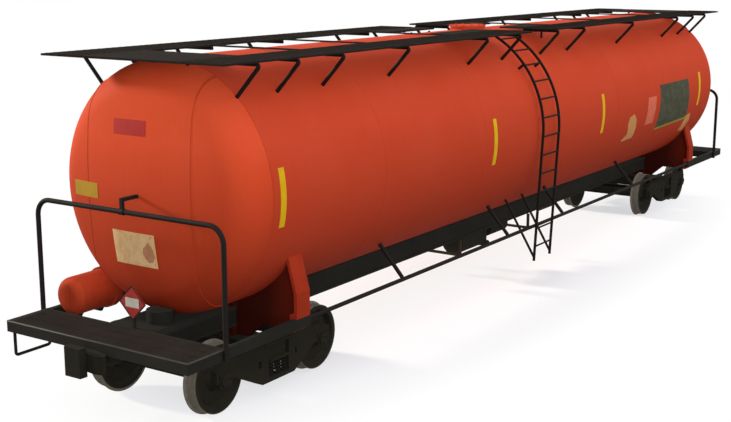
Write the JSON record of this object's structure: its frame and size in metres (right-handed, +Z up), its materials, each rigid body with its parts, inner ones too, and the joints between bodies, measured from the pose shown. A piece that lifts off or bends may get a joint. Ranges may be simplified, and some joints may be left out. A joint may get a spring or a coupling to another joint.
{
  "type": "railway tank car",
  "caption": "Long bogie railway tank car: orange-red barrel on saddles over a low sill, end platforms with handrail hoops, side ladders, roof walkway rings and swivelling bogies.",
  "frame": {"origin": "floor under the middle of the car, at the level of the wheel flanges' tips", "axes": "+X along the car, towards the end without the red air reservoir; +Y to the left; +Z up"},
  "size_m": [18.399, 3.326, 4.2013],
  "materials": {
    "tank_paint": "weathered orange-red gloss paint",
    "walk_plate": "worn dark walkway plate",
    "rail_black": "matt black paint",
    "bogie_iron": "dirty cast steel",
    "spring_steel": "dirty coil springs",
    "wheel_steel": "rolled steel with brake dust",
    "placard_red": "blank red sign plate",
    "hanger_rust": "dull brown paint",
    "frame_black": "dirty black paint"
  },
  "bodies": {
    "car": {"air_reservoir": "tank_paint", "bottom_outlet": "frame_black", "brake_vessels": "frame_black", "centre_sill": "frame_black", "coupler_far": "bogie_iron", "coupler_near": "bogie_iron", "cross_bars": "rail_black", "deck_far": "walk_plate", "deck_near": "walk_plate", "draft_boxes": "frame_black", "end_beam_far": "frame_black", "end_beam_near": "frame_black", "handrail_far": "rail_black", "handrail_near": "rail_black", "ladder_braces": "rail_black", "ladder_rails": "rail_black", "ladder_rungs": "rail_black", "manway": "tank_paint", "pipe_hangers": "hanger_rust", "placards": "placard_red", "rail_ties": "rail_black", "reservoir_cradles": "frame_black", "rod_struts": "rail_black", "saddle_far": "tank_paint", "saddle_near": "tank_paint", "side_rods": "rail_black", "side_sills": "frame_black", "stirrup_steps": "rail_black", "tank_head_far": "tank_paint", "tank_head_near": "tank_paint", "tank_shell": "tank_paint", "walkway_brackets": "rail_black", "walkway_cross": "walk_plate", "walkway_left": "walk_plate", "walkway_posts": "rail_black", "walkway_right": "walk_plate", "walkway_struts": "rail_black"},
    "lid": {"manway_lid": "tank_paint"},
    "bogie_near": {"bolster_near": "bogie_iron", "side_frames_near": "bogie_iron", "springs_near": "spring_steel", "axle_boxes_near": "bogie_iron", "brake_beams_near": "bogie_iron"},
    "wheelset_near_outer": {"axle_near_outer": "wheel_steel", "wheels_near_outer": "wheel_steel"},
    "wheelset_near_inner": {"axle_near_inner": "wheel_steel", "wheels_near_inner": "wheel_steel"},
    "bogie_far": {"bolster_far": "bogie_iron", "side_frames_far": "bogie_iron", "springs_far": "spring_steel", "axle_boxes_far": "bogie_iron", "brake_beams_far": "bogie_iron"},
    "wheelset_far_outer": {"axle_far_outer": "wheel_steel", "wheels_far_outer": "wheel_steel"},
    "wheelset_far_inner": {"axle_far_inner": "wheel_steel", "wheels_far_inner": "wheel_steel"}
  },
  "joints": [
    {"name": "bogie_near_swivel", "type": "hinge", "parent": "car", "child": "bogie_near", "pos_m": [-6.815, 0, 0.673], "axis": [0, 0, 1], "range_deg": [-5, 5]},
    {"name": "wheelset_near_outer_spin", "type": "hinge", "parent": "bogie_near", "child": "wheelset_near_outer", "pos_m": [-7.78, 0, 0.448], "axis": [0, 1, 0], "continuous": true},
    {"name": "wheelset_near_inner_spin", "type": "hinge", "parent": "bogie_near", "child": "wheelset_near_inner", "pos_m": [-5.85, 0, 0.448], "axis": [0, 1, 0], "continuous": true},
    {"name": "bogie_far_swivel", "type": "hinge", "parent": "car", "child": "bogie_far", "pos_m": [6.815, 0, 0.673], "axis": [0, 0, 1], "range_deg": [-5, 5]},
    {"name": "wheelset_far_outer_spin", "type": "hinge", "parent": "bogie_far", "child": "wheelset_far_outer", "pos_m": [7.78, 0, 0.448], "axis": [0, 1, 0], "continuous": true},
    {"name": "wheelset_far_inner_spin", "type": "hinge", "parent": "bogie_far", "child": "wheelset_far_inner", "pos_m": [5.85, 0, 0.448], "axis": [0, 1, 0], "continuous": true},
    {"name": "lid_hinge", "type": "hinge", "parent": "car", "child": "lid", "pos_m": [-0.09, 0, 4.1793], "axis": [0, 1, 0], "range_deg": [0, 110]}
  ]
}
